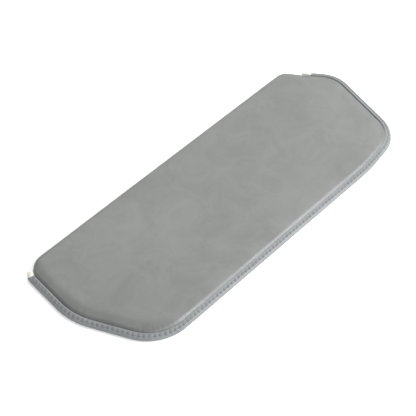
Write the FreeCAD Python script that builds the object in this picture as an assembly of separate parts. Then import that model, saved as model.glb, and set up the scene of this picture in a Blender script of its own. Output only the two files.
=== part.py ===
import FreeCAD, Part
import math
import os

# Chair armrest pad: a thin upholstered pad on a plywood base.
# Frame: X runs along the pad, +Y points to the plain long side, Z is up.
# The origin is the middle of the pad's outline, on the plane that it rests on.
# All sizes are in millimetres.

Vector = FreeCAD.Vector
UP = Vector(0, 0, 1)

# Outline of the padded panel, a hexagon with rounded corners, before centring.
PLAIN_RIGHT_X = 126.2
PLAIN_LEFT_X = -136.7
PLAIN_Y = 53.9
POINT_LEFT_X = -142.8
POINT_LEFT_Y = 0.7
NEAR_LEFT_X = -118.5
NEAR_LEFT_Y = -54.4
NEAR_BEND_X = 92.3
NEAR_BEND_Y = -55.0
NEAR_RIGHT_X = 131.2
NEAR_RIGHT_Y = -49.5
POINT_RIGHT_X = 150.5
POINT_RIGHT_Y = 20.0
PLAIN_RIGHT_R = 9.9
PLAIN_LEFT_R = 14.0
POINT_LEFT_R = 48.1
NEAR_LEFT_R = 29.6
NEAR_BEND_R = 110.0
NEAR_RIGHT_R = 26.0
POINT_RIGHT_R = 21.1

# Heights and thicknesses of the layers, from the resting plane up.
LINING_T = 0.4
LEATHER_T = 0.9
BOARD_T = 3.0
SHOULDER_Z = 5.8
CROWN_Z = 7.4
SHOULDER_R = 3.2
UNDER_R = 2.0
FIT_GAP = 0.3
MARGIN_W = 8.5
MARGIN_Z = LINING_T + LEATHER_T
BOARD_Z = LINING_T + BOARD_T
BOARD_INSET = 2.6
FOAM_SKIRT_Z = 1.9
COVER_SKIRT_Z = 2.2

# Edge band: leather over a soft core, on three sides of the panel.
# Its section is given as (distance out from the panel, height).
BAND_REACH = 5.1
BAND_GROOVE = (FIT_GAP, 3.75)
BAND_CREST_MID = (0.85, 4.18)
BAND_CREST_END = (1.6, 4.15)
BAND_FACET_END = (4.4, 2.9)
BAND_SIDE_MID = (4.88, 2.47)
BAND_SIDE_TOP = (BAND_REACH, 1.95)
BAND_SIDE_LOW = (BAND_REACH, 1.45)
BAND_BASE_MID = (4.8, 0.72)
BAND_BASE = (4.1, LINING_T)
BAND_SEAM_LOW_Z = 1.7
BAND_START_LEFT = 9.8
BAND_START_RIGHT = 23.0

# Core of the edge band, one leather thickness inside its outer line.
CORE_IN = FIT_GAP + LEATHER_T
CORE_TOP_IN = (CORE_IN, 3.2)
CORE_CREST = (1.5, 3.2)
CORE_FACET_END = (3.9, 2.15)
CORE_SIDE_MID = (4.12, 2.02)
CORE_SIDE_TOP = (BAND_REACH - LEATHER_T, 1.85)
CORE_SIDE_LOW = (BAND_REACH - LEATHER_T, 1.65)
CORE_BASE_MID = (4.1, 1.4)
CORE_BASE = (3.85, MARGIN_Z)
CORE_BASE_IN = (CORE_IN, MARGIN_Z)
TAB_LEFT = 4.2
TAB_RIGHT = 6.5

# Topstitching on the band's sloping facet.
STITCH_PITCH = 3.53
STITCH_LENGTH = 2.7
STITCH_W = 0.5
STITCH_T = 0.3
STITCH_OUT = 2.85
STITCH_END_GAP = 2.0
STITCH_LIFT = 0.04

# Thread that lies in the seam between the cover and the band.
SEAM_OUT = 0.03
SEAM_Z = 2.8
SEAM_W = 0.24
SEAM_H = 0.3
SEAM_END_GAP = 1.0

# T-nuts pressed into the base board from above.
NUT_SPACING_X = 120.0
NUT_SPACING_Y = 45.0
NUT_BORE_R = 2.5
NUT_BARREL_R = 3.6
NUT_FLANGE_R = 8.5
NUT_FLANGE_T = 0.8
NUT_PRONG_R = 7.0
NUT_PRONG_W = 2.0
NUT_PRONG_T = 0.8
NUT_PRONG_L = 2.2
NUT_PRONGS = 4
LINING_HOLE_R = 5.0

# Staples through the lining and the turned-in leather into the board.
LINING_INSET = 5.0
STAPLE_INSET = 6.8
STAPLE_COUNT = 18
STAPLE_CROWN = 10.0
STAPLE_W = 1.2
STAPLE_T = 0.4
STAPLE_LEG = 2.6

# Room around the model for the cutting blocks.
CLEAR = 20.0


def outline_corners():
    """Panel corners anticlockwise from the plain side's right end, with radii."""
    return [
        (PLAIN_RIGHT_X, PLAIN_Y, PLAIN_RIGHT_R),
        (PLAIN_LEFT_X, PLAIN_Y, PLAIN_LEFT_R),
        (POINT_LEFT_X, POINT_LEFT_Y, POINT_LEFT_R),
        (NEAR_LEFT_X, NEAR_LEFT_Y, NEAR_LEFT_R),
        (NEAR_BEND_X, NEAR_BEND_Y, NEAR_BEND_R),
        (NEAR_RIGHT_X, NEAR_RIGHT_Y, NEAR_RIGHT_R),
        (POINT_RIGHT_X, POINT_RIGHT_Y, POINT_RIGHT_R),
    ]


def outward(start, end):
    """Unit normal that points out of the anticlockwise outline's edge."""
    along = (end - start).normalize()
    return Vector(along.y, -along.x, 0)


def offset_corners(offset):
    """Corner points and radii of the outline moved outward by offset."""
    corners = outline_corners()
    count = len(corners)
    points = [Vector(x, y, 0) for x, y, _ in corners]
    moved = []
    for i in range(count):
        before = outward(points[i - 1], points[i])
        after = outward(points[i], points[(i + 1) % count])
        shift = (before + after) * (offset / (1 + before.dot(after)))
        moved.append((points[i] + shift, corners[i][2] + offset))
    return moved


def fillet_arc(before, corner, after, radius):
    """Start, middle and end of the arc that rounds one corner."""
    back = (before - corner).normalize()
    ahead = (after - corner).normalize()
    half = math.acos(max(-1.0, min(1.0, back.dot(ahead)))) / 2
    reach = radius / math.tan(half)
    centre = corner + (back + ahead).normalize() * (radius / math.sin(half))
    middle = centre + (corner - centre).normalize() * radius
    return corner + back * reach, middle, corner + ahead * reach


def outline_wire(offset):
    """Closed outline at z = 0: straight sides and tangent corner arcs."""
    moved = offset_corners(offset)
    count = len(moved)
    arcs = []
    for i in range(count):
        before = moved[i - 1][0]
        after = moved[(i + 1) % count][0]
        arcs.append(fillet_arc(before, moved[i][0], after, moved[i][1]))
    edges = []
    for i in range(count):
        start, middle, end = arcs[i]
        edges.append(Part.Arc(start, middle, end).toShape())
        edges.append(Part.LineSegment(end, arcs[(i + 1) % count][0]).toShape())
    return Part.Wire(Part.__sortEdges__(edges))


def band_ends(trim_left, trim_right):
    """Where the band starts and stops on the panel's two ends."""
    corners = [corner for corner, _ in offset_corners(0)]
    down_left = (corners[2] - corners[1]).normalize()
    down_right = (corners[-1] - corners[0]).normalize()
    start = corners[1] + down_left * (BAND_START_LEFT + trim_left)
    end = corners[0] + down_right * (BAND_START_RIGHT + trim_right)
    return start, end


def end_normals():
    """Outward normals of the panel's left and right end edges."""
    corners = [corner for corner, _ in offset_corners(0)]
    return outward(corners[1], corners[2]), outward(corners[-1], corners[0])


def band_path(offset, trim_left, trim_right):
    """Open path round the left end, the near side and the right end."""
    moved = offset_corners(offset)
    start, end = band_ends(trim_left, trim_right)
    left_out, right_out = end_normals()
    here = start + left_out * offset
    edges = []
    count = len(moved)
    for i in range(2, count):
        before = moved[i - 1][0]
        after = moved[(i + 1) % count][0]
        arc_start, middle, arc_end = fillet_arc(before, moved[i][0], after, moved[i][1])
        edges.append(Part.LineSegment(here, arc_start).toShape())
        edges.append(Part.Arc(arc_start, middle, arc_end).toShape())
        here = arc_end
    edges.append(Part.LineSegment(here, end + right_out * offset).toShape())
    return Part.Wire(edges)


def section_line(place, start, end):
    return Part.LineSegment(place(start), place(end)).toShape()


def section_arc(place, start, middle, end):
    return Part.Arc(place(start), place(middle), place(end)).toShape()


def sweep(path, draw):
    """Sweep a section along a level path; draw(place) returns its edges."""
    first = path.OrderedEdges[0]
    origin = first.valueAt(first.FirstParameter)
    along = first.tangentAt(first.FirstParameter)
    out = Vector(along.y, -along.x, 0)

    def place(point):
        return origin + out * point[0] + UP * point[1]

    section = Part.Wire(draw(place))
    return path.makePipeShell([section], True, False)


def draw_band_outside(place):
    """Outer line of the band, from the seam over the core to its base."""
    return [
        section_arc(place, BAND_GROOVE, BAND_CREST_MID, BAND_CREST_END),
        section_line(place, BAND_CREST_END, BAND_FACET_END),
        section_arc(place, BAND_FACET_END, BAND_SIDE_MID, BAND_SIDE_TOP),
        section_line(place, BAND_SIDE_TOP, BAND_SIDE_LOW),
        section_arc(place, BAND_SIDE_LOW, BAND_BASE_MID, BAND_BASE),
    ]


def draw_core_outside(place):
    """Outer line of the core, from its base back to the seam side."""
    return [
        section_arc(place, CORE_BASE, CORE_BASE_MID, CORE_SIDE_LOW),
        section_line(place, CORE_SIDE_LOW, CORE_SIDE_TOP),
        section_arc(place, CORE_SIDE_TOP, CORE_SIDE_MID, CORE_FACET_END),
        section_line(place, CORE_FACET_END, CORE_CREST),
        section_line(place, CORE_CREST, CORE_TOP_IN),
    ]


def draw_core(place):
    return draw_core_outside(place) + [
        section_line(place, CORE_TOP_IN, CORE_BASE_IN),
        section_line(place, CORE_BASE_IN, CORE_BASE),
    ]


def draw_band(place):
    """Band leather: down the seam, over the core and in under the board."""
    under_low = (-MARGIN_W, LINING_T)
    under_top = (-MARGIN_W, MARGIN_Z)
    seam_low_out = (CORE_IN, BAND_SEAM_LOW_Z)
    seam_low_in = (FIT_GAP, BAND_SEAM_LOW_Z)
    return draw_band_outside(place) + [
        section_line(place, BAND_BASE, under_low),
        section_line(place, under_low, under_top),
        section_line(place, under_top, CORE_BASE),
    ] + draw_core_outside(place) + [
        section_line(place, CORE_TOP_IN, seam_low_out),
        section_line(place, seam_low_out, seam_low_in),
        section_line(place, seam_low_in, BAND_GROOVE),
    ]


def draw_tab(place):
    """The bare end of the core, swollen to the band's full section."""
    base_in = (FIT_GAP, LINING_T)
    return draw_band_outside(place) + [
        section_line(place, BAND_BASE, base_in),
        section_line(place, base_in, BAND_GROOVE),
    ]


def draw_seam(place):
    low_in = (SEAM_OUT, SEAM_Z)
    low_out = (SEAM_OUT + SEAM_W, SEAM_Z)
    top_out = (SEAM_OUT + SEAM_W, SEAM_Z + SEAM_H)
    top_in = (SEAM_OUT, SEAM_Z + SEAM_H)
    return [
        section_line(place, low_in, low_out),
        section_line(place, low_out, top_out),
        section_line(place, top_out, top_in),
        section_line(place, top_in, low_in),
    ]


def slab(offset, low, high):
    """Flat plate of the outline, moved out by offset, from low to high."""
    wire = outline_wire(offset)
    wire.translate(UP * low)
    return Part.Face(wire).extrude(UP * (high - low))


def crown_tool(drop):
    """Barrel solid whose top is the panel's crown, lowered by drop."""
    top = CROWN_Z - drop
    rise = CROWN_Z - SHOULDER_Z
    across_r = PLAIN_Y ** 2 / (2 * rise)
    along_r = POINT_RIGHT_X ** 2 / (2 * rise)
    pivot = Vector(0, 0, top - along_r)
    wide = PLAIN_Y + CLEAR
    fall = across_r - math.sqrt(across_r ** 2 - wide ** 2)
    arc = Part.Arc(
        Vector(0, -wide, top - fall),
        Vector(0, 0, top),
        Vector(0, wide, top - fall),
    ).toShape()
    sides = Part.makePolygon([
        Vector(0, wide, top - fall),
        Vector(0, wide, -CLEAR),
        Vector(0, -wide, -CLEAR),
        Vector(0, -wide, top - fall),
    ])
    face = Part.Face(Part.Wire([arc] + sides.Edges))
    angle = math.degrees(math.asin((POINT_RIGHT_X + CLEAR) / along_r))
    face.rotate(pivot, Vector(0, 1, 0), -angle)
    return face.revolve(pivot, Vector(0, 1, 0), 2 * angle)


def level_edges(body, low, high):
    """Edges that lie wholly between two heights."""
    return [
        edge for edge in body.Edges
        if edge.BoundBox.ZMin > low and edge.BoundBox.ZMax < high
    ]


def crowned_body(offset, low, drop, shoulder_r):
    """Panel-shaped body from low up to the crown, with a rounded shoulder."""
    block = slab(offset, low, CROWN_Z + CLEAR)
    body = block.common(crown_tool(drop))
    return body.makeFillet(shoulder_r, level_edges(body, SHOULDER_Z - 2.0, CROWN_Z + 1.0))


def bandless_zone():
    """Block over the part of the edge that the band leaves plain."""
    start, end = band_ends(0, 0)
    left_out, right_out = end_normals()
    outline = Part.makePolygon([
        start + left_out * CLEAR,
        start - left_out * CLEAR,
        end - right_out * CLEAR,
        end + right_out * CLEAR,
        Vector(PLAIN_RIGHT_X + CLEAR, PLAIN_Y + CLEAR, 0),
        Vector(PLAIN_LEFT_X - CLEAR, PLAIN_Y + CLEAR, 0),
        start + left_out * CLEAR,
    ])
    return Part.Face(outline).extrude(UP * CLEAR)


def rounded_under(body, low, radius):
    """Round the lower edge of a panel-shaped body."""
    return body.makeFillet(radius, level_edges(body, low - 0.01, low + 0.01))


def top_cover():
    """Leather over the foam, turned in under the board where no band runs."""
    outside = crowned_body(0, LINING_T, 0, SHOULDER_R)
    outside = rounded_under(outside, LINING_T, UNDER_R)
    inside = crowned_body(-LEATHER_T, MARGIN_Z, LEATHER_T, SHOULDER_R - LEATHER_T)
    inside = rounded_under(inside, MARGIN_Z, UNDER_R - LEATHER_T)
    shell = outside.cut(inside).cut(slab(-MARGIN_W, 0, MARGIN_Z))
    band_side = slab(CLEAR, -CLEAR, COVER_SKIRT_Z).cut(bandless_zone())
    return shell.cut(band_side).removeSplitter()


def base_board():
    """Plywood board with a shallow step under its edge for the leather."""
    full = slab(-BOARD_INSET, MARGIN_Z, BOARD_Z)
    middle = slab(-MARGIN_W - FIT_GAP, LINING_T, BOARD_Z)
    return full.fuse(middle).removeSplitter()


def foam_pad():
    """Foam sheet with the panel's crown, turned down over the board's edge."""
    edge = LEATHER_T + FIT_GAP
    body = crowned_body(-edge, FOAM_SKIRT_Z, edge, SHOULDER_R - edge)
    return body.cut(slab(-BOARD_INSET, 0, BOARD_Z))


def edge_core():
    """White core strip, with its two bare ends filling the whole section."""
    core = sweep(band_path(0, 0, 0), draw_core)
    whole = sweep(band_path(0, -TAB_LEFT, -TAB_RIGHT), draw_tab)
    tabs = whole.common(bandless_zone())
    return core.fuse(tabs).removeSplitter()


def edge_band():
    return sweep(band_path(0, 0, 0), draw_band)


def seam_thread():
    return sweep(band_path(0, SEAM_END_GAP, SEAM_END_GAP), draw_seam)


def topstitch():
    """Short stitches, end to end along the band's sloping facet."""
    path = band_path(STITCH_OUT, STITCH_END_GAP, STITCH_END_GAP)
    count = int(path.Length / STITCH_PITCH)
    points = path.discretize(Number=count + 1)
    drop = BAND_CREST_END[1] - BAND_FACET_END[1]
    fall = drop / (BAND_FACET_END[0] - BAND_CREST_END[0])
    height = BAND_CREST_END[1] - fall * (STITCH_OUT - BAND_CREST_END[0])
    tilt = math.degrees(math.atan(fall))
    stitches = []
    for start, end in zip(points[:-1], points[1:]):
        along = end - start
        heading = math.degrees(math.atan2(along.y, along.x))
        stitch = Part.makeBox(STITCH_LENGTH, STITCH_W, STITCH_T)
        stitch.translate(Vector(-STITCH_LENGTH / 2, -STITCH_W / 2, 0))
        stitch.rotate(Vector(0, 0, 0), Vector(1, 0, 0), tilt)
        stitch.rotate(Vector(0, 0, 0), UP, heading)
        stitch.translate((start + end) * 0.5 + UP * (height + STITCH_LIFT))
        stitches.append(stitch)
    return stitches


def bottom_lining():
    """Thin non-woven sheet that hides the leather's turned-in edge."""
    return slab(-LINING_INSET, 0, LINING_T)


def nut_places():
    """Four T-nuts in a rectangle about the pad's centre."""
    reach_x = Vector(NUT_SPACING_X / 2, 0, 0)
    reach_y = Vector(0, NUT_SPACING_Y / 2, 0)
    return [
        pad_centre() + reach_x * side_x + reach_y * side_y
        for side_y in (-1, 1)
        for side_x in (-1, 1)
    ]


def t_nut(place):
    """Round flange on the board, barrel through it and prongs into it."""
    barrel = Part.makeCylinder(NUT_BARREL_R, BOARD_T, Vector(0, 0, LINING_T))
    flange = Part.makeCylinder(NUT_FLANGE_R, NUT_FLANGE_T, Vector(0, 0, BOARD_Z))
    nut = barrel.fuse(flange)
    for i in range(NUT_PRONGS):
        prong = Part.makeBox(NUT_PRONG_T, NUT_PRONG_W, NUT_PRONG_L)
        prong.translate(Vector(NUT_PRONG_R, -NUT_PRONG_W / 2, BOARD_Z - NUT_PRONG_L))
        prong.rotate(Vector(0, 0, 0), UP, 360.0 * i / NUT_PRONGS)
        nut = nut.fuse(prong)
    bore = Part.makeCylinder(NUT_BORE_R, CLEAR)
    nut = nut.cut(bore).removeSplitter()
    nut.translate(place)
    return nut


def nut_hole(place):
    """Hole through the board for a nut's barrel and bore."""
    return Part.makeCylinder(NUT_BARREL_R, CLEAR, place)


def flange_pocket(place):
    """Room in the foam's underside for a nut's flange."""
    radius = NUT_FLANGE_R + FIT_GAP
    return Part.makeCylinder(radius, NUT_FLANGE_T + FIT_GAP, place + UP * BOARD_Z)


def lining_hole(place):
    return Part.makeCylinder(LINING_HOLE_R, CLEAR, place)


def staple():
    """One flat wire staple, crown down, centred on the origin."""
    body = Part.makeBox(STAPLE_CROWN, STAPLE_W, STAPLE_T)
    for side in (0, STAPLE_CROWN - STAPLE_T):
        leg = Part.makeBox(STAPLE_T, STAPLE_W, STAPLE_LEG)
        leg.translate(Vector(side, 0, 0))
        body = body.fuse(leg)
    body.translate(Vector(-STAPLE_CROWN / 2, -STAPLE_W / 2, 0))
    return body.removeSplitter()


def staples():
    """Staples flush with the lining, evenly spaced round its edge."""
    path = outline_wire(-STAPLE_INSET)
    points = path.discretize(Number=STAPLE_COUNT * 20 + 1)
    made = []
    for i in range(STAPLE_COUNT):
        before = points[20 * i + 9]
        after = points[20 * i + 11]
        along = after - before
        wire = staple()
        wire.rotate(Vector(0, 0, 0), UP, math.degrees(math.atan2(along.y, along.x)))
        wire.translate((before + after) * 0.5)
        made.append(wire)
    return made


def pad_centre():
    """Middle of the whole pad's outline, seen from above."""
    box = outline_wire(BAND_REACH).BoundBox
    return Vector((box.XMin + box.XMax) / 2, (box.YMin + PLAIN_Y) / 2, 0)


def export(name, shape):
    """Write one node, moved so that the pad's centre is the origin."""
    shape.translate(pad_centre() * -1)
    shape.exportStep(os.path.join("parts", name + ".step"))


def main():
    os.makedirs("parts", exist_ok=True)
    nuts = [t_nut(place) for place in nut_places()]
    wires = Part.makeCompound(staples())
    board = base_board()
    foam = foam_pad()
    lining = bottom_lining()
    for place, nut in zip(nut_places(), nuts):
        board = board.cut(nut_hole(place)).cut(nut)
        foam = foam.cut(flange_pocket(place))
        lining = lining.cut(lining_hole(place))
    export("top_cover", top_cover().cut(wires))
    export("edge_band", edge_band().cut(wires))
    export("edge_core", edge_core())
    export("seam_thread", seam_thread())
    export("topstitch", Part.makeCompound(topstitch()))
    export("foam_pad", foam)
    export("base_board", board.cut(wires))
    export("bottom_lining", lining.cut(wires))
    export("staples", wires)
    for i, nut in enumerate(nuts):
        export("t_nut_%d" % (i + 1), nut)


main()
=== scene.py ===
import math

import bpy
import numpy as np
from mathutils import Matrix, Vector, noise
from mathutils.bvhtree import BVHTree
from mathutils.geometry import delaunay_2d_cdt


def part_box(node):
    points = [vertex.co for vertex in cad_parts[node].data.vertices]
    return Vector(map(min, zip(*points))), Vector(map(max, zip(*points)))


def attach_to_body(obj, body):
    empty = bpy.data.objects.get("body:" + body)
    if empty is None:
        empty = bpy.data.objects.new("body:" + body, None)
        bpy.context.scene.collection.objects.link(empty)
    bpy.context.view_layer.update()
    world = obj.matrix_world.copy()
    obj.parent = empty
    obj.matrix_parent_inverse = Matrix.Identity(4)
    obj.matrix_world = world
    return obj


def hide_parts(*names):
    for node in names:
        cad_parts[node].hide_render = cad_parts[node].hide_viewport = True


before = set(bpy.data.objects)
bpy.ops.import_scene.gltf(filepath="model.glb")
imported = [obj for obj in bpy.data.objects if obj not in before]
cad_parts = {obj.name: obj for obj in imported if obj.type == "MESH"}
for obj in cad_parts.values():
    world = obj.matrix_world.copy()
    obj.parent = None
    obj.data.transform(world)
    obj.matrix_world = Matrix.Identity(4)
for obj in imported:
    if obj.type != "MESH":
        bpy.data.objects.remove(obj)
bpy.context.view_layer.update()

MM = 0.001
BODY = "root"

# ---------------------------------------------------------------------------
# Outline of the panel in millimetres, as the CAD has it before centring:
# (x, y, corner radius), anticlockwise from the plain side's right end.
# Positions and radii were fitted to the photographed outline, as in part.py.
# ---------------------------------------------------------------------------
CORNERS = [
    (126.2, 53.9, 9.9),
    (-136.7, 53.9, 14.0),
    (-142.8, 0.7, 48.1),
    (-118.5, -54.4, 29.6),
    (92.3, -55.0, 110.0),
    (131.2, -49.5, 26.0),
    (150.5, 20.0, 21.1),
]
PLAIN_RIGHT = 0
PLAIN_LEFT = 1
POINT_LEFT = 2
NEAR_LEFT = 3
NEAR_RIGHT = 5

# Sizes in millimetres, as in part.py, and levels read from the frame.
BAND_START_LEFT = 9.8
BAND_START_RIGHT = 23.0
BAND_REACH = 5.1
COVER_LOW, COVER_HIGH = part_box("top_cover")
UNDER_Z = COVER_LOW.z / MM
CROWN_Z = COVER_HIGH.z / MM
LEATHER_T = 0.9
SHOULDER_Z = 5.8
SHOULDER_R = 3.2
UNDER_R = 2.0
MARGIN_W = 8.5
LINING_INSET = 5.0
STITCH_PITCH = 3.53
TAB_LEFT = 4.2
TAB_RIGHT = 6.5
STITCH_OUT = 2.85
STITCH_Z = 3.49


def corner_directions(corners, i):
    """A corner, and the unit directions back and ahead along the polygon."""
    corner = np.array(corners[i][:2])
    back = np.array(corners[i - 1][:2]) - corner
    ahead = np.array(corners[(i + 1) % len(corners)][:2]) - corner
    back /= np.linalg.norm(back)
    ahead /= np.linalg.norm(ahead)
    return corner, back, ahead


class Outline:
    """The panel's rounded outline, sampled densely by arc length."""

    STEP = 0.05

    def __init__(self, corners):
        self.corner_at = []
        self.corner_reach = []
        self.corner_turn = []
        points, normals = [], []
        travelled = 0.0
        here = None
        for i in range(len(corners)):
            corner, back, ahead = corner_directions(corners, i)
            radius = corners[i][2]
            half = math.acos(float(back @ ahead)) / 2
            turn = math.pi - 2 * half
            reach = radius / math.tan(half)
            start = corner + back * reach
            inwards = (back + ahead) / np.linalg.norm(back + ahead)
            middle = corner + inwards * radius / math.sin(half)
            if here is None:
                first_start = start
            else:
                travelled += self._line(points, normals, here, start)
            self.corner_at.append(travelled)
            self.corner_reach.append(reach)
            self.corner_turn.append(radius * turn)
            self._arc(points, normals, middle, start, radius, turn)
            travelled += radius * turn
            here = corner + ahead * reach
        self._line(points, normals, here, first_start)
        self.points = np.array(points)
        self.normals = np.array(normals)
        gaps = np.linalg.norm(np.roll(self.points, -1, 0) - self.points, axis=1)
        self.at = np.concatenate([[0.0], np.cumsum(gaps)[:-1]])
        self.length = float(gaps.sum())

    def _arc(self, points, normals, middle, start, radius, turn):
        """Add the points of a rounded corner that begins at start."""
        first = math.atan2(*(start - middle)[::-1])
        steps = max(4, int(radius * turn / self.STEP))
        for k in range(steps):
            angle = first + turn * k / steps
            normal = np.array([math.cos(angle), math.sin(angle)])
            points.append(middle + normal * radius)
            normals.append(normal)

    def _line(self, points, normals, start, end):
        """Add the points of a straight stretch, and return its length."""
        span = float(np.linalg.norm(end - start))
        along = (end - start) / span
        normal = np.array([along[1], -along[0]])
        steps = max(2, int(span / self.STEP))
        for k in range(steps):
            points.append(start + along * span * k / steps)
            normals.append(normal)
        return span

    def sample(self, distance, out=0.0):
        """Points and outward normals at distances along the outline."""
        wrapped = np.mod(distance, self.length)
        at = np.append(self.at, self.length)
        columns = []
        for values in (self.points, self.normals):
            closed = np.vstack([values, values[:1]])
            columns.append([np.interp(wrapped, at, closed[:, k]) for k in (0, 1)])
        point = np.stack(columns[0], -1)
        normal = np.stack(columns[1], -1)
        normal /= np.linalg.norm(normal, axis=-1, keepdims=True)
        return point + normal * np.asarray(out)[..., None], normal


def centred_outline():
    """The outline, shifted so that it fills the CAD cover's box."""
    raw = Outline(CORNERS)
    middle = (raw.points.min(0) + raw.points.max(0)) / 2
    target = (np.array(COVER_LOW[:2]) + np.array(COVER_HIGH[:2])) / 2 / MM
    shift = target - middle
    return Outline([(x + shift[0], y + shift[1], r) for x, y, r in CORNERS]), shift


OUTLINE, SHIFT = centred_outline()


def band_range():
    """Arc-length places where the band's leather starts and stops."""
    after_left = OUTLINE.corner_at[PLAIN_LEFT] + OUTLINE.corner_turn[PLAIN_LEFT]
    start = after_left + BAND_START_LEFT - OUTLINE.corner_reach[PLAIN_LEFT]
    end = OUTLINE.length + OUTLINE.corner_reach[PLAIN_RIGHT] - BAND_START_RIGHT
    return start, end


BAND_START, BAND_END = band_range()


# ---------------------------------------------------------------------------
# Helpers
# ---------------------------------------------------------------------------
def smoothstep(low, high, value):
    """0 below low, 1 above high and a smooth rise between them."""
    t = np.clip((np.asarray(value, float) - low) / (high - low), 0.0, 1.0)
    return t * t * (3 - 2 * t)


def bump_at(centre, width, value):
    """Bell curve of height 1 round a centre."""
    return np.exp(-(((value - centre) / width) ** 2))


def curve_through(points, count):
    """Catmull-Rom curve through a few section points, evenly spaced."""
    p = np.array(points, float)
    p = np.vstack([2 * p[0] - p[1], p, 2 * p[-1] - p[-2]])
    fine = []
    for i in range(1, len(p) - 2):
        for t in np.linspace(0, 1, 24, endpoint=False):
            a, b, c, d = p[i - 1], p[i], p[i + 1], p[i + 2]
            fine.append(0.5 * (2 * b + (c - a) * t + (2 * a - 5 * b + 4 * c - d) * t ** 2
                               + (3 * b - a - 3 * c + d) * t ** 3))
    fine.append(p[-2])
    fine = np.array(fine)
    at = np.concatenate([[0], np.cumsum(np.linalg.norm(np.diff(fine, axis=0), axis=1))])
    where = np.linspace(0, at[-1], count)
    return np.stack([np.interp(where, at, fine[:, 0]), np.interp(where, at, fine[:, 1])], -1)


def noise_field(x, y, z, scale, seed):
    """Smooth noise from -1 to 1 over arrays of millimetre coordinates."""
    flat = np.stack([np.ravel(x), np.ravel(y), np.ravel(z)], -1) / scale + seed
    values = [noise.noise(Vector(p)) for p in flat]
    return np.array(values).reshape(np.shape(x))


def make_object(name, vertices, faces, material, smooth=True):
    """Mesh object from millimetre vertices, linked to the scene."""
    mesh = bpy.data.meshes.new(name)
    mesh.from_pydata((np.asarray(vertices) * MM).tolist(), [], faces)
    mesh.update()
    mesh.materials.append(material)
    if smooth:
        mesh.polygons.foreach_set("use_smooth", [True] * len(mesh.polygons))
    made = bpy.data.objects.new(name, mesh)
    bpy.context.scene.collection.objects.link(made)
    return made


def grid_faces(rows, columns, wrap=False, offset=0):
    """Quads of a rows x columns grid of vertices, wrapped along the columns."""
    faces = []
    last = columns if wrap else columns - 1
    for r in range(rows - 1):
        for c in range(last):
            d = (c + 1) % columns
            faces.append((offset + r * columns + c, offset + r * columns + d,
                          offset + (r + 1) * columns + d, offset + (r + 1) * columns + c))
    return faces


def fill_inside(ring, spacing, holes=()):
    """Triangles inside a closed ring, with grid points well inside it."""
    low, high = ring.min(0), ring.max(0)
    xs = np.arange(low[0] + spacing, high[0], spacing)
    ys = np.arange(low[1] + spacing, high[1], spacing)
    gx, gy = np.meshgrid(xs, ys)
    inner = np.stack([gx.ravel(), gy.ravel()], -1)
    inner = inner[inside_ring(inner, ring, spacing * 0.6)]
    for hole in holes:
        centre = hole.mean(0)
        radius = np.linalg.norm(hole[0] - centre)
        inner = inner[np.linalg.norm(inner - centre, axis=1) > radius + spacing * 0.5]
    points = np.vstack([ring, *holes, inner])
    edges, start = [], 0
    for loop in (ring, *holes):
        n = len(loop)
        edges += [(start + k, start + (k + 1) % n) for k in range(n)]
        start += n
    found, _, faces, origin, _, _ = delaunay_2d_cdt(
        [Vector(p) for p in points], edges, [], 1, 1e-5)
    return np.array([tuple(v) for v in found]), [tuple(f) for f in faces], origin


def inside_ring(points, ring, margin):
    """True for points inside a closed ring by more than margin."""
    x, y = points[:, 0], points[:, 1]
    inside = np.zeros(len(points), bool)
    near = np.full(len(points), 1e9)
    for a, b in zip(ring, np.roll(ring, -1, 0)):
        crosses = (a[1] > y) != (b[1] > y)
        rise = b[1] - a[1]
        at_x = a[0] + (y - a[1]) * (b[0] - a[0]) / (rise if rise else 1e-9)
        inside ^= crosses & (x < at_x)
        near = np.minimum(near, np.hypot(x - a[0], y - a[1]))
    return inside & (near > margin)


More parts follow.
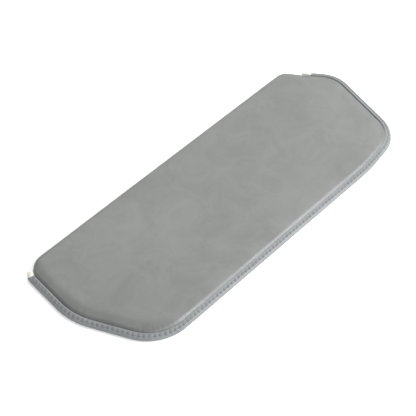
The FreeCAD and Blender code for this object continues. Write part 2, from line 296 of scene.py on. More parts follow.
# ---------------------------------------------------------------------------
# Materials
# ---------------------------------------------------------------------------
class Graph:
    """Short hand for building a node material."""

    def __init__(self, name):
        self.material = bpy.data.materials.new(name)
        self.material.use_nodes = True
        self.tree = self.material.node_tree
        self.shader = self.tree.nodes["Principled BSDF"]
        self.coords = self.tree.nodes.new("ShaderNodeTexCoord").outputs["Object"]

    def node(self, kind, inputs=None, **settings):
        made = self.tree.nodes.new("ShaderNode" + kind)
        for key, value in settings.items():
            setattr(made, key, value)
        for key, value in (inputs or {}).items():
            self.put(made.inputs[key], value)
        return made

    def put(self, socket, value):
        if isinstance(value, bpy.types.NodeSocket):
            self.tree.links.new(value, socket)
        else:
            socket.default_value = value

    def noise(self, scale, detail=3.0, roughness=0.5, distortion=0.0, vector=None):
        made = self.node("TexNoise", {
            "Vector": vector or self.coords, "Scale": scale, "Detail": detail,
            "Roughness": roughness, "Distortion": distortion})
        return made.outputs["Fac"]

    def cells(self, scale, feature="F1", randomness=1.0, vector=None):
        made = self.node("TexVoronoi", {
            "Vector": vector or self.coords, "Scale": scale, "Randomness": randomness},
            feature=feature)
        return made.outputs["Distance"]

    def spread(self, value, low, high, to_low=0.0, to_high=1.0):
        made = self.node("MapRange", {
            "Value": value, "From Min": low, "From Max": high,
            "To Min": to_low, "To Max": to_high})
        return made.outputs["Result"]

    def math(self, operation, a, b):
        made = self.node("Math", operation=operation)
        self.put(made.inputs[0], a)
        self.put(made.inputs[1], b)
        return made.outputs["Value"]

    def mix(self, amount, a, b):
        made = self.node("Mix", data_type="RGBA")
        self.put(made.inputs[0], amount)
        self.put(made.inputs[6], a)
        self.put(made.inputs[7], b)
        return made.outputs[2]

    def bump(self, height, strength, distance, normal=None):
        made = self.node("Bump", {"Height": height, "Strength": strength, "Distance": distance})
        if normal is not None:
            self.put(made.inputs["Normal"], normal)
        return made.outputs["Normal"]

    def finish(self, **sockets):
        names = {"color": "Base Color", "roughness": "Roughness", "normal": "Normal",
                 "metallic": "Metallic", "specular": "Specular IOR Level",
                 "sheen": "Sheen Weight", "sheen_roughness": "Sheen Roughness",
                 "glow": "Emission Strength"}
        for key, value in sockets.items():
            self.put(self.shader.inputs[names[key]], value)
        return self.material


def grey(value, warm=0.0):
    """Opaque grey, shifted from blue to red by warm."""
    return (value * (1 + warm), value, value * (1 - warm), 1.0)


def leather_material(name, dark, light, specular):
    """Matt synthetic leather: pebbled grain, fine creases and cloudy colour."""
    g = Graph(name)
    broad = g.noise(14.0, 2.0, 0.5, 0.6)
    cloud = g.noise(46.0, 5.0, 0.66, 1.1)
    fleck = g.noise(900.0, 2.0, 0.6)
    blend = g.math("ADD", g.math("MULTIPLY", broad, 0.35), g.math("MULTIPLY", cloud, 0.65))
    color = g.mix(g.spread(blend, 0.38, 0.62), dark, light)
    color = g.mix(g.spread(fleck, 0.35, 0.75, 0.0, 0.10), color, grey(0.08))
    worn = g.noise(9.0, 3.0, 0.6, 0.3)
    color = g.mix(g.spread(worn, 0.55, 0.8, 0.0, 0.14), color, (0.220, 0.232, 0.216, 1))
    warped = g.node("VectorMath", operation="ADD")
    shove = g.node("VectorMath", operation="SCALE")
    drift = g.node("TexNoise", {"Vector": g.coords, "Scale": 700.0, "Detail": 2.0})
    g.put(shove.inputs[0], drift.outputs["Color"])
    g.put(shove.inputs["Scale"], 0.0006)
    g.put(warped.inputs[0], g.coords)
    g.put(warped.inputs[1], shove.outputs["Vector"])
    pebbles = g.spread(g.cells(1900.0, "SMOOTH_F1", vector=warped.outputs["Vector"]), 0.05, 0.65)
    creases = g.spread(g.cells(900.0, "DISTANCE_TO_EDGE", vector=warped.outputs["Vector"]),
                       0.0, 0.12)
    undulation = g.noise(60.0, 3.0, 0.55)
    normal = g.bump(undulation, 0.14, 0.0012)
    normal = g.bump(creases, 0.13, 0.00008, normal)
    normal = g.bump(pebbles, 0.20, 0.00008, normal)
    pore = g.noise(5200.0, 2.0, 0.6)
    normal = g.bump(pore, 0.12, 0.00004, normal)
    roughness = g.spread(g.math("ADD", g.math("MULTIPLY", cloud, 0.6),
                                g.math("MULTIPLY", pebbles, 0.4)), 0.2, 0.8, 0.33, 0.45)
    return g.finish(color=color, roughness=roughness, normal=normal, specular=specular,
                    sheen=0.05, sheen_roughness=0.4)


def foamed_plastic_material():
    """White foamed plastic of the edge core: fine bubbles, slightly yellowed."""
    g = Graph("white_core")
    stain = g.noise(240.0, 3.0, 0.6)
    color = g.mix(g.spread(stain, 0.35, 0.7), (0.76, 0.742, 0.69, 1), (0.88, 0.87, 0.82, 1))
    bubbles = g.spread(g.cells(3800.0, "SMOOTH_F1"), 0.1, 0.6)
    normal = g.bump(bubbles, 0.3, 0.00008)
    normal = g.bump(g.noise(500.0, 3.0), 0.3, 0.0002, normal)
    return g.finish(color=color, roughness=g.spread(stain, 0.2, 0.8, 0.55, 0.75),
                    normal=normal)


def thread_material():
    """Twisted polyester sewing thread: fine fibres along each ply."""
    g = Graph("thread_fibre")
    fibre = g.noise(6000.0, 3.0, 0.7, 1.0)
    tint = g.noise(160.0, 2.0)
    color = g.mix(g.spread(fibre, 0.3, 0.7), grey(0.20), grey(0.30))
    color = g.mix(g.spread(tint, 0.4, 0.7, 0.0, 0.35), color, grey(0.33))
    normal = g.bump(fibre, 0.5, 0.00006)
    return g.finish(color=color, roughness=g.spread(fibre, 0.2, 0.8, 0.45, 0.7),
                    normal=normal, sheen=0.25, sheen_roughness=0.35)


def foam_material():
    """Open-cell upholstery foam, cream, yellower in random patches."""
    g = Graph("foam_cells")
    cells = g.spread(g.cells(1500.0, "F1"), 0.1, 0.7)
    tone = g.noise(30.0, 3.0)
    color = g.mix(g.spread(tone, 0.3, 0.7), (0.72, 0.66, 0.50, 1), (0.82, 0.78, 0.64, 1))
    # Darker brown at each cell's centre, where the bump sinks into a pit: painted shade in the pores.
    color = g.mix(g.spread(cells, 0.0, 0.5, 0.5, 0.0), color, (0.42, 0.36, 0.24, 1))
    return g.finish(color=color, roughness=g.spread(cells, 0.0, 1.0, 0.95, 0.8),
                    normal=g.bump(cells, 0.8, 0.0004))


def plywood_material():
    """Raw plywood: stretched grain along the board and darker pores."""
    g = Graph("plywood_grain")
    stretch = g.node("Mapping", {"Vector": g.coords, "Scale": (6.0, 90.0, 260.0)})
    grain = g.noise(1.6, 5.0, 0.62, 0.9, stretch.outputs["Vector"])
    pores = g.noise(14.0, 2.0, 0.6, 0.0, stretch.outputs["Vector"])
    color = g.mix(g.spread(grain, 0.3, 0.7), (0.42, 0.28, 0.15, 1), (0.66, 0.50, 0.31, 1))
    color = g.mix(g.spread(pores, 0.58, 0.7, 0.0, 0.5), color, (0.22, 0.13, 0.07, 1))
    return g.finish(color=color, roughness=g.spread(grain, 0.2, 0.8, 0.6, 0.8),
                    normal=g.bump(pores, 0.4, 0.0003))


def lining_material():
    """Black non-woven sheet: bonded fibres and a grid of welded points."""
    g = Graph("lining_nonwoven")
    turned = g.node("Mapping", {"Vector": g.coords, "Rotation": (0, 0, math.radians(45))})
    points = g.cells(620.0, "F1", 0.0, turned.outputs["Vector"])
    welds = g.spread(points, 0.16, 0.30)
    fibres = g.noise(2600.0, 4.0, 0.75, 2.5)
    tone = g.noise(40.0, 3.0)
    color = g.mix(g.spread(fibres, 0.3, 0.7), grey(0.018), grey(0.060))
    color = g.mix(g.spread(tone, 0.45, 0.75, 0.0, 0.4), color, grey(0.085))
    color = g.mix(g.spread(welds, 0.0, 1.0, 0.5, 0.0), color, grey(0.012))
    normal = g.bump(welds, 0.6, 0.00018)
    normal = g.bump(fibres, 0.5, 0.00012, normal)
    return g.finish(color=color, roughness=g.spread(welds, 0.0, 1.0, 0.45, 0.9), normal=normal)


def metal_material(name, base, low, high):
    """Plated steel: cloudy plating, drawing marks and light scratches."""
    g = Graph(name)
    cloud = g.noise(260.0, 4.0, 0.65)
    drawn = g.node("Mapping", {"Vector": g.coords, "Scale": (400.0, 400.0, 3000.0)})
    marks = g.noise(2.0, 3.0, 0.6, 0.0, drawn.outputs["Vector"])
    color = g.mix(g.spread(cloud, 0.3, 0.7), tuple(c * 0.8 for c in base) + (1,), base + (1,))
    roughness = g.spread(g.math("ADD", g.math("MULTIPLY", cloud, 0.5),
                                g.math("MULTIPLY", marks, 0.5)), 0.3, 0.7, low, high)
    return g.finish(color=color, roughness=roughness, metallic=1.0,
                    normal=g.bump(marks, 0.25, 0.00005))


# ---------------------------------------------------------------------------
# Padded cover
# ---------------------------------------------------------------------------
SIM_CELL = 4.0
SIM_PRESSURE = 4.0
SIM_FRAMES = 20


def crown_grid():
    """Grid over the pad's box, with the points that the seam holds down."""
    ring = OUTLINE.sample(np.linspace(0, OUTLINE.length, 400, endpoint=False), -1.0)[0]
    low, high = ring.min(0) - 2 * SIM_CELL, ring.max(0) + 2 * SIM_CELL
    xs = np.arange(low[0], high[0] + SIM_CELL, SIM_CELL)
    ys = np.arange(low[1], high[1] + SIM_CELL, SIM_CELL)
    gx, gy = np.meshgrid(xs, ys)
    flat = np.stack([gx.ravel(), gy.ravel()], -1)
    free = inside_ring(flat, ring, 0.5 * SIM_CELL)
    return xs, ys, gx, gy, free.reshape(gx.shape)


def blown_up_sheet(gx, gy, free):
    """Heights of a leather sheet, held at the seam and pressed up by foam."""
    rows, columns = gx.shape
    vertices = np.stack([gx.ravel(), gy.ravel(), np.zeros(gx.size)], -1)
    sheet = make_object("crown_sheet", vertices, grid_faces(rows, columns),
                        bpy.data.materials.new("crown_sheet"))
    held = sheet.vertex_groups.new(name="held")
    held.add([int(i) for i in np.flatnonzero(~free.ravel())], 1.0, "REPLACE")
    cloth = sheet.modifiers.new("cloth", "CLOTH")
    cloth.settings.vertex_group_mass = "held"
    cloth.settings.quality = 8
    cloth.settings.mass = 0.3
    cloth.settings.tension_stiffness = 40
    cloth.settings.compression_stiffness = 40
    cloth.settings.bending_stiffness = 2.0
    cloth.settings.use_pressure = True
    cloth.settings.uniform_pressure_force = SIM_PRESSURE
    cloth.settings.effector_weights.gravity = 0.0
    cloth.point_cache.frame_end = SIM_FRAMES
    scene = bpy.context.scene
    for step in range(1, SIM_FRAMES + 1):
        scene.frame_set(step)
    solved = sheet.evaluated_get(bpy.context.evaluated_depsgraph_get())
    heights = np.array([v.co.z for v in solved.data.vertices]).reshape(gx.shape) / MM
    scene.frame_set(1)
    bpy.data.objects.remove(sheet)
    return np.abs(heights)


def blur(values):
    """A grid blurred by one cell each way."""
    padded = np.pad(values, 1, mode="edge")
    rows = (padded[:-2] + 2 * padded[1:-1] + padded[2:]) / 4
    return (rows[:, :-2] + 2 * rows[:, 1:-1] + rows[:, 2:]) / 4


class Crown:
    """Height of the panel's face over its shoulder, from 0 to 1."""

    FINE = 4

    def __init__(self):
        xs, ys, gx, gy, free = crown_grid()
        build = blown_up_sheet
        heights = blur(build(gx, gy, free))
        self.xs = np.linspace(xs[0], xs[-1], (len(xs) - 1) * self.FINE + 1)
        self.ys = np.linspace(ys[0], ys[-1], (len(ys) - 1) * self.FINE + 1)
        wide = np.array([np.interp(self.xs, xs, row) for row in heights])
        tall = np.array([np.interp(self.ys, ys, column) for column in wide.T]).T
        for _ in range(3 * self.FINE):
            tall = blur(tall)
        self.heights = tall / tall.max()

    def at(self, x, y):
        """Share of the full height at places given in millimetres."""
        fx = np.clip((x - self.xs[0]) / (self.xs[1] - self.xs[0]), 0, len(self.xs) - 1.001)
        fy = np.clip((y - self.ys[0]) / (self.ys[1] - self.ys[0]), 0, len(self.ys) - 1.001)
        i, j = fx.astype(int), fy.astype(int)
        u, v = fx - i, fy - j
        h = self.heights
        return ((h[j, i] * (1 - u) + h[j, i + 1] * u) * (1 - v)
                + (h[j + 1, i] * (1 - u) + h[j + 1, i + 1] * u) * v)


def band_mask(at, soft=1.6):
    """1 along the sewn edge and its bare core ends, 0 along the plain edge."""
    start, end = BAND_START - TAB_LEFT, BAND_END + TAB_RIGHT
    return smoothstep(start - soft, start, at) * (1 - smoothstep(end, end + soft, at))


# The seam between cover and band: its height, how far the cover laps over
# the band, and where the cover's curve begins. It differs at the two ends.
SEAM_Z = 3.75
LEFT_SEAM_Z = 3.1
RIGHT_SEAM_Z = 3.55
SEAM_OUT = 1.15
LEFT_SEAM_OUT = 0.4
RIGHT_SEAM_OUT = 0.0
SEAM_TURN = 36.0
STEEP_WIDTH = 1.9
RIGHT_STEEP_WIDTH = 3.0

# How the seam pulls the face down. ROLL_END stays below the smallest corner
# radius, because rings further in would cross there.
ROLL_DROP = 1.5
RIGHT_ROLL_DROP = 2.0
PLAIN_ROLL_DROP = 0.3
ROLL_WIDTH = 4.6
ROLL_START = 2.0
ROLL_END = 9.3
PUCKER_DEPTH = 0.09
PUCKER_REACH = 2.6

# Lengths along the outline over which the ends' seam values fade.
LEFT_FADE = 70.0
RIGHT_FADE_START = 4.0
RIGHT_FADE_END = 34.0

# Softness of the band's ends on the face, and how soon it takes over inside.
FACE_MASK_SOFT = 9.0
FACE_MASK_REACH = 1.5
FACE_BASE = SHOULDER_Z + 0.25


def face_height(crown, x, y):
    """Height of the cover's face: crown and uneven foam."""
    uneven = 0.09 * noise_field(x, y, 0 * x, 38.0, 3.1) + 0.03 * noise_field(x, y, 0 * x, 11.0, 8.4)
    return FACE_BASE + (CROWN_Z - FACE_BASE) * crown.at(x, y) + uneven


def left_share(at):
    """1 along the left end, where the band is widest, 0 well along the near side."""
    bend = OUTLINE.corner_at[NEAR_LEFT]
    return 1 - smoothstep(bend, bend + LEFT_FADE, at)


def right_share(at):
    """1 along the right end, where the seam lies deepest, 0 before it."""
    bend = OUTLINE.corner_at[NEAR_RIGHT]
    return smoothstep(bend + RIGHT_FADE_START, bend + RIGHT_FADE_END, at)


def along_edge(at, near, left_end, right_end):
    """A value of the near side that changes towards the two ends."""
    return near + (left_end - near) * left_share(at) + (right_end - near) * right_share(at)


def edge_roll(at, inset, banded):
    """How far the seam pulls the face down, fading to nothing inside it."""
    drop = along_edge(at, ROLL_DROP, ROLL_DROP, RIGHT_ROLL_DROP)
    pull = drop * banded + PLAIN_ROLL_DROP * (1 - banded)
    return pull * np.exp(-inset / ROLL_WIDTH) * (1 - smoothstep(ROLL_START, ROLL_END, inset))


def hem_rings(at, banded):
    """Rings below the seam: a plain skirt behind the band, a turned hem elsewhere."""
    hem = [(MARGIN_W, UNDER_Z), (6.6, UNDER_Z), (4.8, UNDER_Z), (3.2, UNDER_Z)]
    for turn in np.radians([-90, -72, -54, -36, -18, 0]):
        hem.append((UNDER_R - UNDER_R * math.cos(turn), UNDER_Z + UNDER_R + UNDER_R * math.sin(turn)))
    skirt_low, skirt_top = 1.7, 2.5
    rings = []
    for k, (inset, height) in enumerate(hem):
        share = k / (len(hem) - 1)
        skirt_z = skirt_low + (skirt_top - skirt_low) * share
        pleat = 0.10 * np.abs(np.sin(at * 2.1)) * smoothstep(3.0, 6.0, inset)
        rings.append((inset * (1 - banded), (height + pleat) * (1 - banded) + skirt_z * banded))
    return rings


def seam_puckers(at):
    """Waves that the seam pulls into the leather, deepest round the corners."""
    ripple = noise_field(at, 0 * at, 0 * at, 9.0, 5.5)
    gather = np.maximum(corner_share(at), 0.35)
    wave = np.sin(2 * math.pi * at / STITCH_PITCH + 1.4 * ripple)
    return PUCKER_DEPTH * gather * wave * (0.6 + ripple)


def shoulder_rings(at, banded):
    """Insets and shares of the height from the seam up to the flat face."""
    steep_width = along_edge(at, STEEP_WIDTH, STEEP_WIDTH, RIGHT_STEEP_WIDTH)
    steep = steep_width * banded + SHOULDER_R * (1 - banded)
    lap = along_edge(at, SEAM_OUT, LEFT_SEAM_OUT, RIGHT_SEAM_OUT) * banded
    first_turn = math.radians(SEAM_TURN) * banded
    rings = []
    for step in np.linspace(0, 1, 16)[1:]:
        turn = first_turn + (math.pi / 2 - first_turn) * step
        inset = -lap + (steep + lap) * (1 - np.cos(turn) / np.cos(first_turn))
        share = (np.sin(turn) - np.sin(first_turn)) / (1 - np.sin(first_turn))
        rings.append((inset, share))
    for step in np.linspace(0, 1, 12)[1:] ** 1.2:
        rings.append((steep + (ROLL_END - steep) * step, 1.0))
    return rings


def cover_rings(crown, at):
    """Insets and levels of the cover's rings, from its turned-in edge up."""
    banded = band_mask(at)
    banded_inside = band_mask(at, FACE_MASK_SOFT)
    seam_z = along_edge(at, SEAM_Z, LEFT_SEAM_Z, RIGHT_SEAM_Z)
    low = seam_z * banded + (UNDER_Z + UNDER_R) * (1 - banded)
    puckers = seam_puckers(at) * banded
    rings = hem_rings(at, banded)
    for inset, share in shoulder_rings(at, banded):
        point, _ = OUTLINE.sample(at, -inset)
        near_seam = np.exp(-inset / FACE_MASK_REACH)
        rolled = banded * near_seam + banded_inside * (1 - near_seam)
        top = face_height(crown, point[:, 0], point[:, 1]) - edge_roll(at, inset, rolled)
        fade = np.exp(-((inset / PUCKER_REACH) ** 2))
        rings.append((inset, low + (top - low) * share + puckers * fade * share))
    return rings


def corner_share(at):
    """1 round the rounded corners of the banded edge, 0 on the straights."""
    share = np.zeros_like(at)
    for i in range(POINT_LEFT, len(CORNERS)):
        turn = OUTLINE.corner_turn[i]
        middle = OUTLINE.corner_at[i] + turn / 2
        share = np.maximum(share, bump_at(middle, turn * 0.6 + 4.0, at))
    return share


def build_cover(crown, material):
    """Cover: one closed skin over the face, its edges and the turned-in hem."""
    around = 1320
    at = np.linspace(0, OUTLINE.length, around, endpoint=False)
    rings = cover_rings(crown, at)
    vertices = []
    for inset, level in rings:
        point, _ = OUTLINE.sample(at, -inset)
        vertices.append(np.column_stack([point, level]))
    faces = grid_faces(len(rings), around, wrap=True)
    inner = vertices[-1][:, :2]
    flat, fill, _ = fill_inside(inner, 2.6)
    heights = face_height(crown, flat[:, 0], flat[:, 1])
    base = len(rings) * around
    new_points = np.column_stack([flat[around:], heights[around:]])
    last_ring = (len(rings) - 1) * around

    def index(k):
        return last_ring + k if k < around else base + k - around

    faces += [tuple(index(k) for k in face) for face in fill]
    cover = make_object("padded_cover", np.vstack(vertices + [new_points]), faces, material)
    skin = cover.modifiers.new("leather_thickness", "SOLIDIFY")
    skin.thickness = (LEATHER_T - 0.1) * MM
    skin.offset = -1.0
    return cover


# ---------------------------------------------------------------------------
# Edge band, its core and its topstitching
# ---------------------------------------------------------------------------
# Section of the band: (distance out from the panel, height), from the seam
# over the stitched facet and the side to the margin under the board.
BAND_SECTION = [
    (0.42, 1.7), (0.42, 2.6), (0.42, 3.2), (0.46, 3.6), (0.60, 3.84), (0.92, 3.94),
    (1.5, 3.87), (2.2, 3.70), (STITCH_OUT, STITCH_Z), (3.45, 3.24), (4.0, 2.98), (4.5, 2.62),
    (4.88, 2.18), (BAND_REACH, 1.6), (4.98, 1.02), (4.6, 0.6), (3.9, UNDER_Z),
    (1.6, UNDER_Z), (-3.0, UNDER_Z), (-MARGIN_W, UNDER_Z),
]
SECTION_COUNT = 64
HOLE_DEPTH = 0.7
HOLE_R = 0.48
END_SLANT_LEFT = 1.0
END_SLANT_RIGHT = 0.4
SLANT_FROM = 1.0
SLANT_TO = 4.2
LIP_LEAD = 0.3
HOLE_MARGIN = 1.6
BAND_LEATHER_T = 0.7


def section_normals(section):
    """Unit normals along an open section curve."""
    along = np.gradient(section, axis=0)
    along /= np.linalg.norm(along, axis=1, keepdims=True)
    return np.stack([-along[:, 1], along[:, 0]], -1)


def stitch_places():
    """Outline places of the needle holes, evenly spaced along the band."""
    at = np.linspace(BAND_START + HOLE_MARGIN, BAND_END - HOLE_MARGIN, 4000)
    points, _ = OUTLINE.sample(at, STITCH_OUT)
    run = np.concatenate([[0], np.cumsum(np.linalg.norm(np.diff(points, axis=0), axis=1))])
    count = int(run[-1] / STITCH_PITCH)
    return np.interp(np.linspace(0, run[-1], count + 1), run, at)


def band_point(at, out, height):
    """Point of the band at an outline place, in section coordinates."""
    flat, _ = OUTLINE.sample(at, out)
    return np.concatenate([flat, np.asarray(height)[..., None]], -1)


def band_places(section, outside, columns):
    """Outline places of the band's vertices: its two ends are cut on a slant."""
    slant = smoothstep(SLANT_FROM, SLANT_TO, section[:, 0]) * outside
    low = BAND_START - END_SLANT_LEFT * slant
    low = np.where(section[:, 0] < SLANT_FROM, BAND_START - LIP_LEAD, low)
    high = BAND_END + END_SLANT_RIGHT * slant
    share = np.linspace(0, 1, columns)
    return low[:, None] + (high - low)[:, None] * share[None, :]


def band_lift(at, across, outside, holes):
    """How far the leather stands off its plain section: holes, puffs, ripples."""
    nearest = np.abs(at[..., None] - holes[None, None, :]).min(-1)
    phase = np.interp(at, holes, np.arange(len(holes)))
    ruffle = noise_field(at, across[:, None] + 0 * at, 0 * at, 6.0, 2.2)
    drift = noise_field(at, 0 * at, 0 * at, 31.0, 9.9)
    gather = 0.6 + 0.8 * corner_share(at)
    valley = np.exp(-((across / 0.55) ** 2))[:, None]
    shoulder = np.exp(-(((np.abs(across) - 1.0) / 0.6) ** 2))[:, None]
    lift = -HOLE_DEPTH * valley * np.exp(-((nearest / HOLE_R) ** 2))
    lift += -0.03 * valley
    lift += 0.075 * shoulder * gather * -np.cos(2 * math.pi * phase)
    lift += (0.05 * ruffle + 0.07 * drift) * outside[:, None]
    return lift


def build_band(holes, material):
    """Band leather with its seam lip, stitched valley, flange and hem."""
    section = curve_through(BAND_SECTION, SECTION_COUNT)
    normals = section_normals(section)
    across = np.linalg.norm(section - np.array([STITCH_OUT, STITCH_Z]), axis=1)
    across *= np.sign(section[:, 0] - STITCH_OUT + 1e-6)
    outside = section[:, 1] > UNDER_Z + 0.1
    columns = 1500
    at = band_places(section, outside, columns)
    lift = band_lift(at, across, outside, holes)
    out = section[:, 0, None] + normals[:, 0, None] * lift
    height = section[:, 1, None] + normals[:, 1, None] * lift
    vertices = band_point(at, out, np.maximum(height, UNDER_Z))
    faces = [face[::-1] for face in grid_faces(SECTION_COUNT, columns)]
    band = make_object("band_leather", vertices.reshape(-1, 3), faces, material)
    skin = band.modifiers.new("leather_thickness", "SOLIDIFY")
    skin.thickness = BAND_LEATHER_T * MM
    skin.offset = -1.0
    return band


CORE_SECTION = [
    (0.75, 0.9), (0.72, 2.4), (0.85, 3.35), (1.35, 3.78), (2.4, 3.65), (3.6, 3.12),
    (4.5, 2.4), (4.8, 1.7), (4.6, 1.05), (3.9, 0.62), (1.9, 0.55), (0.9, 0.6),
]
CORE_SWELL_LEFT = 0.5
CORE_SWELL_RIGHT = 1.2
CORE_SQUEEZE = 0.55
CORE_ROUND_END = 1.4

# How the core's bare ends are rounded: (distance from the end, scale).
CORE_END = [(0.0, 0.0), (0.0, 0.55), (0.12, 0.82), (0.4, 0.96), (0.9, 1.0)]


def core_rings():
    """Places and scales of the core's rings: slim inside the leather."""
    first, last = BAND_START - TAB_LEFT, BAND_END + TAB_RIGHT
    inner = np.linspace(first + CORE_ROUND_END, last - CORE_ROUND_END, 460)
    bare = (1 - smoothstep(BAND_START - 0.2, BAND_START + 1.5, inner)
            + smoothstep(BAND_END - 1.5, BAND_END + 0.2, inner))
    places = [first + step for step, _ in CORE_END]
    places += list(inner)
    places += [last - step for step, _ in CORE_END[::-1]]
    scales = [scale for _, scale in CORE_END]
    scales += list(CORE_SQUEEZE + (1 - CORE_SQUEEZE) * bare)
    scales += [scale for _, scale in CORE_END[::-1]]
    return places, scales


def build_core(material):
    """White core: slim inside the band, full at its two bare ends."""
    closed = curve_through(CORE_SECTION + CORE_SECTION[:1], 49)[:-1]
    centre = closed.mean(0)
    rings = []
    for place, scale in zip(*core_rings()):
        shape = centre + (closed - centre) * scale
        bare = 1 - smoothstep(BAND_START - 0.8, BAND_START + 0.2, place)
        bare += smoothstep(BAND_END - 0.2, BAND_END + 0.8, place)
        swell = CORE_SWELL_LEFT if place < OUTLINE.length / 2 else CORE_SWELL_RIGHT
        shape[:, 1] += swell * bare * smoothstep(1.0, 3.8, shape[:, 1])
        dent = 0.05 * noise_field(shape[:, 0] + place, shape[:, 1], 0 * shape[:, 0], 2.0, 4.4)
        shape = shape + (shape - centre) * (dent / 2.5)[:, None]
        rings.append(band_point(np.full(len(shape), place), shape[:, 0], shape[:, 1]))
    faces = grid_faces(len(rings), len(closed), wrap=True)
    return make_object("core_strip", np.vstack(rings), [f[::-1] for f in faces], material)


# The topstitch's thread: two plies that turn round each other.
THREAD_R = 0.135
PLY_OFFSET = 0.115
PLY_TURNS = 2.5
THREAD_STEPS = 22
THREAD_SIDES = 7


def tube_around(path, radius, sides):
    """Rings of a tube along a path, narrow at both ends."""
    along = np.gradient(path, axis=0)
    along /= np.linalg.norm(along, axis=1, keepdims=True)
    side = np.cross(along, [0.0, 0.0, 1.0])
    side /= np.linalg.norm(side, axis=1, keepdims=True)
    over = np.cross(side, along)
    turns = np.linspace(0, 2 * math.pi, sides, endpoint=False)
    ring = np.cos(turns)[None, :, None] * side[:, None] + np.sin(turns)[None, :, None] * over[:, None]
    taper = np.ones(len(path))
    taper[[0, -1]] = 0.3
    return path[:, None] + ring * (radius * taper)[:, None, None]


def build_topstitch(holes, material):
    """Two-ply stitches that dive into the needle holes at both ends."""
    section = curve_through(BAND_SECTION, SECTION_COUNT)
    normals = section_normals(section)
    middle = int(np.argmin(np.linalg.norm(section - np.array([STITCH_OUT, STITCH_Z]), axis=1)))
    seat, rise = section[middle], normals[middle]
    across = np.array([rise[1], -rise[0]])
    share = np.linspace(0, 1, THREAD_STEPS)
    vertices, faces = [], []
    count = 0
    for i, (first, last) in enumerate(zip(holes[:-1], holes[1:])):
        wobble = noise.noise(Vector((i * 0.73, 4.1, 0.0)))
        at = first + (last - first) * (0.03 + 0.94 * share)
        dive = -0.55 * (1 - np.sin(math.pi * share) ** 0.55)
        height = 0.16 + 0.05 * wobble + dive
        skew = 0.10 * (share - 0.5) + 0.05 * wobble
        for ply in (0.0, math.pi):
            turn = 2 * math.pi * PLY_TURNS * share + ply + wobble
            aside = skew + PLY_OFFSET * np.cos(turn)
            above = height + PLY_OFFSET * np.sin(turn)
            spot = seat[None] + rise[None] * above[:, None] + across[None] * aside[:, None]
            rings = tube_around(band_point(at, spot[:, 0], spot[:, 1]), THREAD_R, THREAD_SIDES)
            vertices.append(rings.reshape(-1, 3))
            faces += grid_faces(THREAD_STEPS, THREAD_SIDES, wrap=True, offset=count)
            count += THREAD_STEPS * THREAD_SIDES
    return make_object("topstitch_thread", np.vstack(vertices), faces, material)


# ---------------------------------------------------------------------------
# Foam and bottom lining
# ---------------------------------------------------------------------------
FOAM_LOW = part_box("foam_pad")[0]
BOARD_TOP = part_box("base_board")[1].z / MM
BOARD_INSET = 2.6
FOAM_INSET = 1.3


def build_foam(crown, material):
    """Foam sheet with the cover's crown, turned down over the board's edge."""
    around = 420
    at = np.linspace(0, OUTLINE.length, around, endpoint=False)
    skirt_z = FOAM_LOW.z / MM + 0.1
    wall_z = 2.5
    round_r = SHOULDER_R - FOAM_INSET
    levels = [(BOARD_INSET + 1.2, BOARD_TOP + 0.05), (BOARD_INSET, BOARD_TOP),
              (BOARD_INSET - 0.08, skirt_z + 0.1), (FOAM_INSET + 0.6, skirt_z),
              (FOAM_INSET + 0.05, skirt_z + 0.25), (FOAM_INSET, wall_z)]
    vertices = []
    for inset, level in levels:
        point, _ = OUTLINE.sample(at, -inset)
        vertices.append(np.column_stack([point, np.full(around, level)]))
    for turn in np.radians([15, 30, 45, 60, 75, 90]):
        inset = FOAM_INSET + round_r * (1 - math.cos(turn))
        point, _ = OUTLINE.sample(at, -inset)
        rolled = edge_roll(at, inset, 1.0)
        top = face_height(crown, point[:, 0], point[:, 1]) - rolled - FOAM_INSET
        level = wall_z + (top - wall_z) * math.sin(turn)
        vertices.append(np.column_stack([point, level]))
    rings = len(vertices)
    faces = grid_faces(rings, around, wrap=True)
    base = rings * around
    for ring, level_of, flip in (
            (vertices[-1][:, :2], lambda x, y: face_height(crown, x, y) - FOAM_INSET, False),
            (vertices[0][:, :2], lambda x, y: np.full(len(x), BOARD_TOP + 0.05), True)):
        flat, fill, _ = fill_inside(ring, 5.0)
        inner = flat[around:]
        start = 0 if flip else (rings - 1) * around
        vertices.append(np.column_stack([inner, level_of(inner[:, 0], inner[:, 1])]))
        for face in fill:
            picked = [start + k if k < around else base + k - around for k in face]
            faces.append(tuple(picked[::-1] if flip else picked))
        base += len(inner)
    return make_object("foam_filling", np.vstack(vertices), faces, material)


def nut_centres():
    """Centres of the four T-nuts, read from the frame."""
    places = []
    for i in range(1, 5):
        low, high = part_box("t_nut_%d" % i)
        places.append(((low.x + high.x) / 2 / MM, (low.y + high.y) / 2 / MM))
    return places


LINING_HOLE_R = 5.0
LINING_T = 0.22


def staple_distance(points):
    """Distance of each point from the nearest staple, in millimetres."""
    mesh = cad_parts["staples"].data
    tree = BVHTree.FromPolygons([v.co for v in mesh.vertices],
                                [tuple(p.vertices) for p in mesh.polygons])
    found = [tree.find_nearest(Vector((p[0] * MM, p[1] * MM, 0.0)))[3] for p in points]
    return np.array(found) / MM


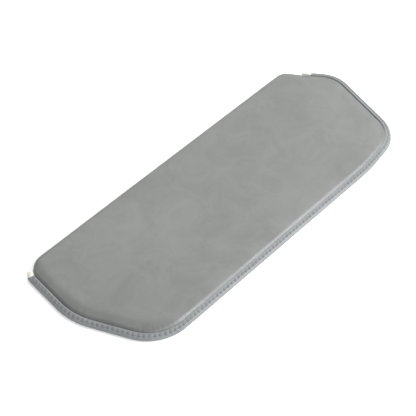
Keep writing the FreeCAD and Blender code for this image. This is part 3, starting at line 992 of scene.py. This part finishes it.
def build_lining(material):
    """Thin sheet stapled under the board, cut out round the T-nuts."""
    around = 620
    at = np.linspace(0, OUTLINE.length, around, endpoint=False)
    cut = 0.18 * noise_field(at, 0 * at, 0 * at, 7.0, 1.3)
    ring, _ = OUTLINE.sample(at, -(LINING_INSET + 0.2) + cut)
    turns = np.linspace(0, 2 * math.pi, 40, endpoint=False)
    holes = []
    for x, y in nut_centres():
        ragged = LINING_HOLE_R + 0.12 * np.sin(3 * turns + x)
        holes.append(np.column_stack([x + ragged * np.cos(turns), y + ragged * np.sin(turns)]))
    flat, fill, _ = fill_inside(ring, 2.4, holes)
    keep = []
    for face in fill:
        middle = flat[list(face)].mean(0)
        if all(np.linalg.norm(middle - hole.mean(0)) > LINING_HOLE_R - 0.35 for hole in holes):
            keep.append(face[::-1])
    x, y = flat[:, 0], flat[:, 1]
    slack = 0.045 * noise_field(x, y, 0 * x, 16.0, 6.6) + 0.02 * noise_field(x, y, 0 * x, 5.0, 2.7)
    pinned = np.exp(-((staple_distance(flat) / 1.6) ** 2))
    level = np.clip(0.08 + slack, 0.02, 0.17) * (1 - pinned) + 0.17 * pinned
    lining = make_object("lining_sheet", np.column_stack([x, y, level]), keep, material)
    skin = lining.modifiers.new("sheet_thickness", "SOLIDIFY")
    skin.thickness = LINING_T * MM
    skin.offset = -1.0
    return lining


# ---------------------------------------------------------------------------
# Stage: floor, light and camera
# ---------------------------------------------------------------------------
VIEW_AZIMUTH = -47.6
VIEW_ELEVATION = 47.4
VIEW_DISTANCE = 0.906
LENS = 110.6
AIM = Vector((SHIFT[0] * MM, SHIFT[1] * MM, 0.0))
SHIFT_X = -0.0346
SHIFT_Y = -0.0202


FLOOR_HALF = 3000.0
FLOOR_Z = -0.02
FLOOR_GLOW = 0.27
WORLD_STRENGTH = 0.45

# Soft lights: name, azimuth, elevation, distance and size in metres, power, colour.
LIGHTS = [
    ("key", 41.0, 36.0, 1.5, 0.8, 23.0, (0.98, 1.0, 1.03)),
    ("far_softbox", 123.0, 46.0, 1.3, 1.5, 10.0, (1.0, 1.0, 0.99)),
    ("near_fill", -22.0, 32.0, 1.6, 1.2, 9.0, (0.98, 1.0, 1.03)),
]


def back_of(azimuth, elevation):
    """Unit direction from the pad to a viewer or a light."""
    a, e = math.radians(azimuth), math.radians(elevation)
    return Vector((math.sin(a) * math.cos(e), -math.cos(a) * math.cos(e), math.sin(e)))


def build_camera():
    """Camera at the angle from which the photo was taken."""
    data = bpy.data.cameras.new("camera")
    data.lens = LENS
    data.sensor_width = 36.0
    data.shift_x = SHIFT_X
    data.shift_y = SHIFT_Y
    data.clip_start = 0.01
    data.clip_end = 50.0
    camera = bpy.data.objects.new("camera", data)
    back = back_of(VIEW_AZIMUTH, VIEW_ELEVATION)
    camera.location = AIM + back * VIEW_DISTANCE
    camera.rotation_mode = "QUATERNION"
    camera.rotation_quaternion = (-back).to_track_quat("-Z", "Y")
    bpy.context.scene.collection.objects.link(camera)
    bpy.context.scene.camera = camera


def build_light(name, azimuth, elevation, distance, size, power, color):
    """Square soft light that looks at the pad."""
    data = bpy.data.lights.new(name, "AREA")
    data.shape = "SQUARE"
    data.size = size
    data.energy = power
    data.color = color
    light = bpy.data.objects.new(name, data)
    back = back_of(azimuth, elevation)
    light.location = back * distance
    light.rotation_mode = "QUATERNION"
    light.rotation_quaternion = (-back).to_track_quat("-Z", "Y")
    bpy.context.scene.collection.objects.link(light)


def build_stage():
    """Plain pale floor, even surroundings and three soft lights."""
    floor_material = Graph("floor_paper")
    tone = floor_material.noise(3.0, 2.0)
    floor_material.finish(
        color=floor_material.mix(tone, grey(0.93), grey(0.96)), roughness=0.9, specular=0.1,
        glow=FLOOR_GLOW)
    signs = ((-1, -1), (1, -1), (1, 1), (-1, 1))
    corners = [(x * FLOOR_HALF, y * FLOOR_HALF, FLOOR_Z) for x, y in signs]
    floor = make_object("floor", corners, [(0, 1, 2, 3)], floor_material.material, smooth=False)
    world = bpy.data.worlds.new("studio")
    world.use_nodes = True
    background = world.node_tree.nodes["Background"]
    background.inputs["Color"].default_value = grey(1.0)
    background.inputs["Strength"].default_value = WORLD_STRENGTH
    bpy.context.scene.world = world
    for settings in LIGHTS:
        build_light(*settings)
    bpy.context.scene.view_settings.view_transform = "Standard"


def dress_cad_nodes():
    """Better materials for the CAD nodes that stay in view."""
    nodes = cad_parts
    zinc = metal_material("zinc_plate", (0.62, 0.62, 0.60), 0.28, 0.5)
    wire = metal_material("staple_wire", (0.66, 0.65, 0.62), 0.25, 0.45)
    chosen = {"base_board": plywood_material(), "staples": wire,
              "seam_thread": bpy.data.materials["thread_fibre"]}
    for i in range(1, 5):
        chosen["t_nut_%d" % i] = zinc
    for name, material in chosen.items():
        mesh = nodes[name].data
        mesh.materials.clear()
        mesh.materials.append(material)


def attach(piece, node):
    """Put a piece on the body, in place of its CAD node."""
    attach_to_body(piece, BODY)
    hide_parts(node)


PANEL_DARK = (0.132, 0.138, 0.130, 1)
PANEL_LIGHT = (0.169, 0.176, 0.166, 1)
PANEL_SPECULAR = 0.8
BAND_DARK = (0.205, 0.215, 0.217, 1)
BAND_LIGHT = (0.246, 0.257, 0.259, 1)
BAND_SPECULAR = 0.35


def main():
    """Make every piece, put it on the body and set the stage."""
    panel_leather = leather_material("panel_leather", PANEL_DARK, PANEL_LIGHT, PANEL_SPECULAR)
    band_leather = leather_material("band_leather_skin", BAND_DARK, BAND_LIGHT, BAND_SPECULAR)
    thread = thread_material()
    crown = Crown()
    cover = build_cover(crown, panel_leather)
    foam = build_foam(crown, foam_material())
    holes = stitch_places()
    band = build_band(holes, band_leather)
    core = build_core(foamed_plastic_material())
    topstitch = build_topstitch(holes, thread)
    lining = build_lining(lining_material())
    attach(cover, "top_cover")
    attach(foam, "foam_pad")
    attach(band, "edge_band")
    attach(core, "edge_core")
    attach(topstitch, "topstitch")
    attach(lining, "bottom_lining")
    dress_cad_nodes()
    build_stage()
    build_camera()


main()
